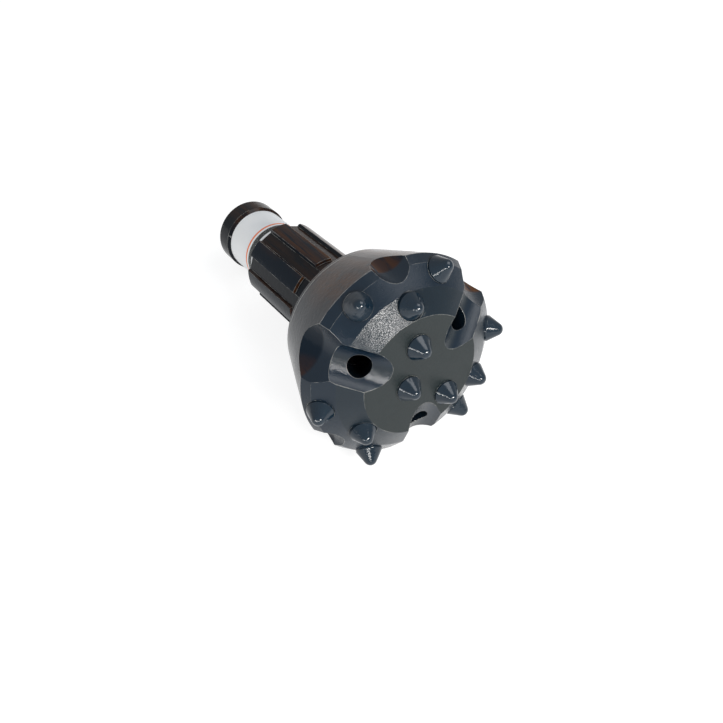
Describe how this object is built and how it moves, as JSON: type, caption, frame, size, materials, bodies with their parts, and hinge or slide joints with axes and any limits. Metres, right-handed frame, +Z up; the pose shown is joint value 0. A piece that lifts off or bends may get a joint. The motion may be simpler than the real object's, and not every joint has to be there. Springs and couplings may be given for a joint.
{
  "type": "button drill bit",
  "caption": "Down-the-hole hammer bit: round head with carbide buttons, flushing grooves and air holes, and a splined shank with a guide land.",
  "frame": {"origin": "bottom centre of the bounding box: the bit lies on the plane z = 0, on the two edges of one flushing channel and the rim of its tail", "axes": "+X along the bit towards its drilling face, with the axis tilted up 11.3 degrees from the floor as it comes to rest, +Z up, +Y to the left when looking along +X"},
  "size_m": [0.1928, 0.1098, 0.1025],
  "materials": {
    "painted_steel": "dark blue-grey sprayed paint over blasted steel, satin on the face and glossier on the shank",
    "painted_carbide": "glossy dark blue-grey paint over smooth tungsten carbide",
    "label": null
  },
  "bodies": {
    "root": {"bit_body": "painted_steel", "gauge_button_1": "painted_carbide", "gauge_button_2": "painted_carbide", "shoulder_button_1": "painted_carbide", "gauge_button_3": "painted_carbide", "gauge_button_4": "painted_carbide", "shoulder_button_2": "painted_carbide", "gauge_button_5": "painted_carbide", "gauge_button_6": "painted_carbide", "shoulder_button_3": "painted_carbide", "centre_button_1": "painted_carbide", "centre_button_2": "painted_carbide", "centre_button_3": "painted_carbide", "label_wrap": "label"}
  },
  "joints": []
}
